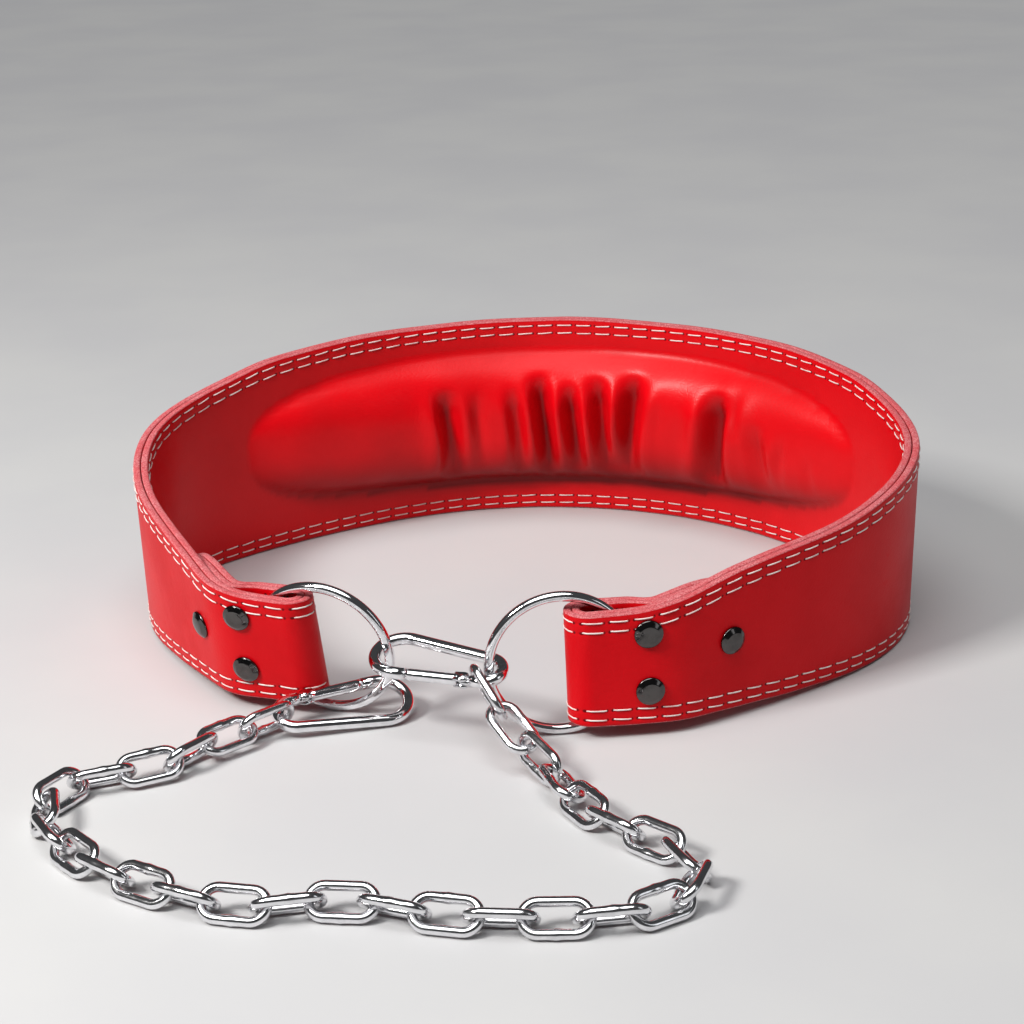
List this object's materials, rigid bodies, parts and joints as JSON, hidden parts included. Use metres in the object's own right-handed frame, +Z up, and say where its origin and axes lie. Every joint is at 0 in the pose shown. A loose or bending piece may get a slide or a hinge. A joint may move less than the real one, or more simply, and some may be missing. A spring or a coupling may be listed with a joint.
{
  "type": "dip belt",
  "caption": "Leather dip belt with a gathered padded back, a ring in each folded end, spring snap hooks and a welded chain between them.",
  "frame": {"origin": "under the outer ply, at the middle of the back's bottom edge, on the plane that the belt stands on", "axes": "+Z up, +Y from the folded ends to the back of the belt, +X to the viewer's right"},
  "size_m": [0.3574, 0.4383, 0.102],
  "materials": {
    "outer_leather": "smooth satin leather with two rows of stitches along each edge",
    "inner_leather": "soft satin leather, gathered over the pad",
    "pad_foam": "dull foam, hidden inside",
    "rivet_steel": "dark polished steel",
    "bright_steel": "mirror chrome",
    "chain_steel": "bright plated steel"
  },
  "bodies": {
    "root": {"outer_ply": "outer_leather", "inner_ply": "inner_leather", "lumbar_pad": "pad_foam", "rivet_right_upper": "rivet_steel", "rivet_right_lower": "rivet_steel", "rivet_right_back": "rivet_steel", "rivet_left_upper": "rivet_steel", "rivet_left_lower": "rivet_steel", "rivet_left_back": "rivet_steel", "ring_right": "bright_steel", "ring_left": "bright_steel", "hook_1_body": "bright_steel", "hook_2_body": "bright_steel", "chain_link_01": "chain_steel", "chain_link_02": "chain_steel", "chain_link_03": "chain_steel", "chain_link_04": "chain_steel", "chain_link_05": "chain_steel", "chain_link_06": "chain_steel", "chain_link_07": "chain_steel", "chain_link_08": "chain_steel", "chain_link_09": "chain_steel", "chain_link_10": "chain_steel", "chain_link_11": "chain_steel", "chain_link_12": "chain_steel", "chain_link_13": "chain_steel", "chain_link_14": "chain_steel", "chain_link_15": "chain_steel", "chain_link_16": "chain_steel", "chain_link_17": "chain_steel", "chain_link_18": "chain_steel", "chain_link_19": "chain_steel", "chain_link_20": "chain_steel", "chain_link_21": "chain_steel", "chain_link_22": "chain_steel", "chain_link_23": "chain_steel", "chain_link_24": "chain_steel", "chain_link_25": "chain_steel", "chain_link_26": "chain_steel", "chain_link_27": "chain_steel", "chain_link_28": "chain_steel", "chain_link_29": "chain_steel", "chain_link_30": "chain_steel"},
    "gate_1": {"hook_1_gate": "bright_steel"},
    "gate_2": {"hook_2_gate": "bright_steel"}
  },
  "joints": [
    {"name": "gate_1_hinge", "type": "hinge", "parent": "root", "child": "gate_1", "pos_m": [-0.05028, -0.28195, 0.02728], "axis": [0.0798, 0.2655, -0.9608], "range_deg": [0, 25], "stiffness_Nm_per_rad": 0.02, "springref_deg": -17.19},
    {"name": "gate_2_hinge", "type": "hinge", "parent": "root", "child": "gate_2", "pos_m": [-0.11519, -0.25691, 0.01063], "axis": [-0.1475, 0.3794, -0.9134], "range_deg": [0, 7], "stiffness_Nm_per_rad": 0.02, "springref_deg": -17.19}
  ]
}
